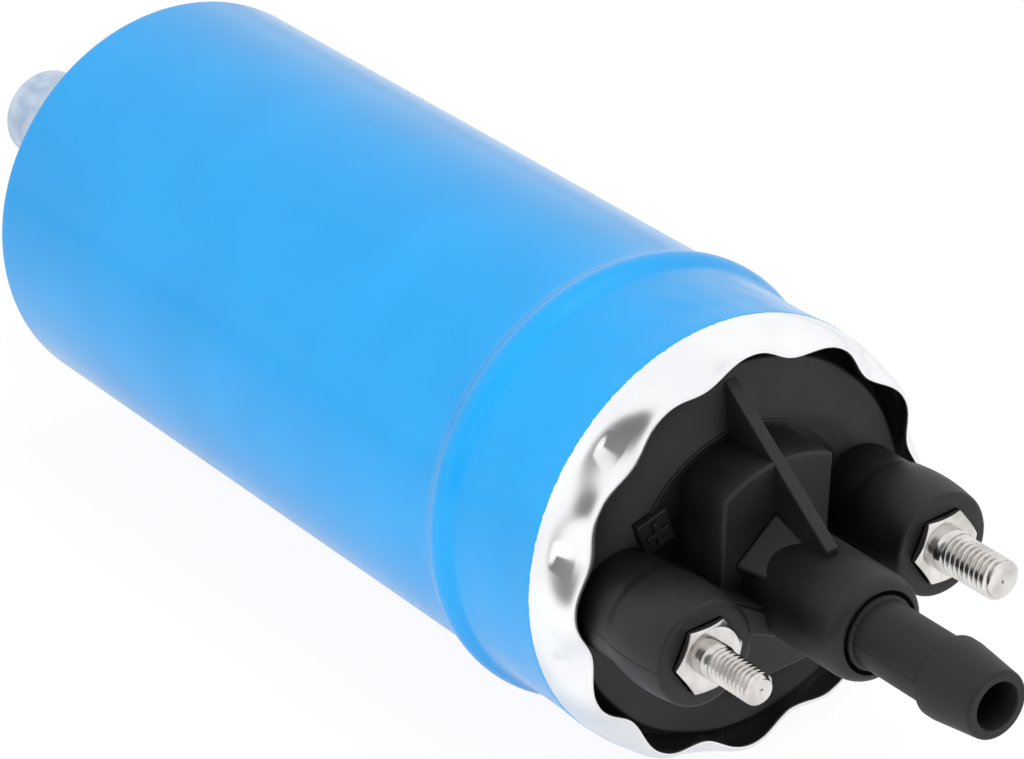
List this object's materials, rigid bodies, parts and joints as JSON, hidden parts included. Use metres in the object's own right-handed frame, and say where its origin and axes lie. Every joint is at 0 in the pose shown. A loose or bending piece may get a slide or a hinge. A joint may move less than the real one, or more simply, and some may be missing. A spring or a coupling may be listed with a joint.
{
  "type": "fuel injection pump",
  "caption": "Inline electric fuel pump: sleeved round can, black end cap with threaded terminals and barbed outlet, plain inlet stub.",
  "frame": {"origin": "on the pump's axis, at the middle of the plain sleeved length that a clamp holds", "axes": "+X along the axis toward the outlet nozzle, +Y toward the larger terminal, +Z toward the cap's rib"},
  "size_m": [0.1938, 0.0544, 0.0544],
  "materials": {
    "blue_sleeve": "glossy blue shrunk film over the can",
    "can_steel": "zinc plated sheet, bright where it is crimped",
    "inlet_zinc": "zinc plated turned steel",
    "strainer_mesh": "fine woven mesh",
    "seal_rubber": "matt black fuel resistant rubber",
    "plate_steel": "ground sintered steel",
    "bright_steel": "ground hardened steel",
    "spring_steel": "drawn spring wire",
    "coupling_plastic": "natural coloured moulding",
    "core_steel": "punched electrical steel",
    "copper_wire": "enamelled copper wire, lacquered",
    "copper_bar": "worn copper bars",
    "ferrite": "dark grey sintered ferrite",
    "black_plastic": "glass filled black moulding, finely grained",
    "nozzle_plastic": "smooth black moulding",
    "brass": "stamped brass",
    "carbon": "pressed carbon",
    "plated_stud": "nickel plated, slightly dull",
    "bronze": "sintered bronze"
  },
  "bodies": {
    "housing": {"shrink_sleeve": "blue_sleeve", "pump_can": "can_steel", "inlet_fitting": "inlet_zinc", "inlet_strainer": "strainer_mesh", "inlet_seal": "seal_rubber", "suction_plate": "plate_steel", "cam_ring": "plate_steel", "discharge_plate": "plate_steel", "pump_screws": "bright_steel", "dowel_pins": "bright_steel", "relief_spring": "spring_steel", "flux_ring": "core_steel", "magnet_upper": "ferrite", "magnet_lower": "ferrite", "magnet_clips": "spring_steel", "brush_carrier": "black_plastic", "brush_tube_plus": "brass", "brush_tube_minus": "brass", "brush_spring_plus": "spring_steel", "brush_spring_minus": "spring_steel", "terminal_strap_plus": "brass", "terminal_strap_minus": "brass", "end_cap": "black_plastic", "cap_seal": "seal_rubber", "terminal_stud_m5": "plated_stud", "terminal_stud_m4": "plated_stud", "stud_seals": "seal_rubber", "stud_nuts": "brass", "outlet_nozzle": "nozzle_plastic", "check_valve_seat": "brass", "check_valve_spring": "spring_steel", "front_bush": "bronze", "rear_bush": "bronze"},
    "armature": {"armature_shaft": "bright_steel", "armature_core": "core_steel", "armature_windings": "copper_wire", "armature_collars": "coupling_plastic", "commutator_hub": "coupling_plastic", "commutator_bars": "copper_bar", "thrust_washers": "coupling_plastic", "drive_coupling": "coupling_plastic", "pump_rotor": "plate_steel"},
    "roller_set": {"rollers": "bright_steel"},
    "relief_valve": {"relief_ball": "bright_steel"},
    "outlet_valve": {"check_valve_poppet": "coupling_plastic"},
    "brush_a": {"brush_plus": "carbon"},
    "brush_b": {"brush_minus": "carbon"}
  },
  "joints": [
    {"name": "motor_spin", "type": "hinge", "parent": "housing", "child": "armature", "pos_m": [0, 0, 0], "axis": [1, 0, 0], "continuous": true},
    {"name": "roller_orbit", "type": "hinge", "parent": "housing", "child": "roller_set", "pos_m": [0, 0.0005, 0], "axis": [1, 0, 0], "continuous": true},
    {"name": "relief_open", "type": "slide", "parent": "housing", "child": "relief_valve", "axis": [-1, 0, 0], "range_m": [0, 0.0025], "stiffness_N_per_m": 1500, "deforming": ["relief_spring"]},
    {"name": "outlet_open", "type": "slide", "parent": "housing", "child": "outlet_valve", "axis": [1, 0, 0], "range_m": [0, 0.002], "stiffness_N_per_m": 300, "deforming": ["check_valve_spring"]},
    {"name": "brush_plus_slide", "type": "slide", "parent": "housing", "child": "brush_a", "axis": [0, -1, 0], "range_m": [0, 0.0025], "stiffness_N_per_m": 400, "deforming": ["brush_spring_plus"]},
    {"name": "brush_minus_slide", "type": "slide", "parent": "housing", "child": "brush_b", "axis": [0, 1, 0], "range_m": [0, 0.0025], "stiffness_N_per_m": 400, "deforming": ["brush_spring_minus"]}
  ],
  "couplings": [
    {"joint": "roller_orbit", "follows": "motor_spin", "ratio": 1}
  ]
}
